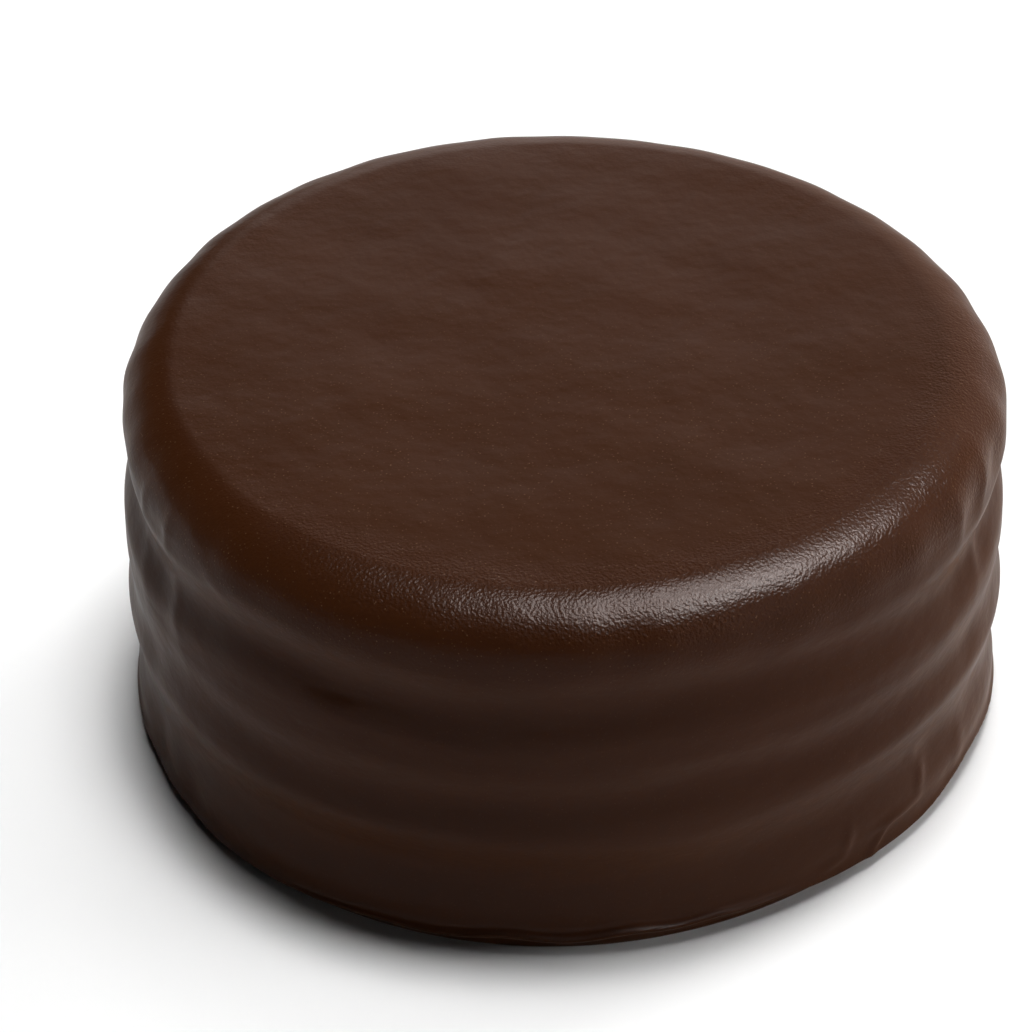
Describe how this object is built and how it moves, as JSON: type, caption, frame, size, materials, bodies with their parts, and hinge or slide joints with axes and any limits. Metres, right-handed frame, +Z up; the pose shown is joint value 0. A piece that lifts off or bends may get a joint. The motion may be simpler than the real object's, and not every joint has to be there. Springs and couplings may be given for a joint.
{
  "type": "chocolate coated alfajor cookie",
  "caption": "Thick round sandwich cookie, whole and fully coated in dark chocolate, with a nearly flat top, a rounded rim and soft rolls round its side. A sweet snack that stands on its flat base.",
  "frame": {"origin": "on the flat base, under the middle of the cookie's bounding box", "axes": "+Z up along the cookie's axis, -Y towards the front, +X to the right"},
  "size_m": [0.0626, 0.0628, 0.0287],
  "materials": {
    "chocolate_coat": "satin"
  },
  "bodies": {
    "root": {"cookie": "chocolate_coat"}
  },
  "joints": []
}
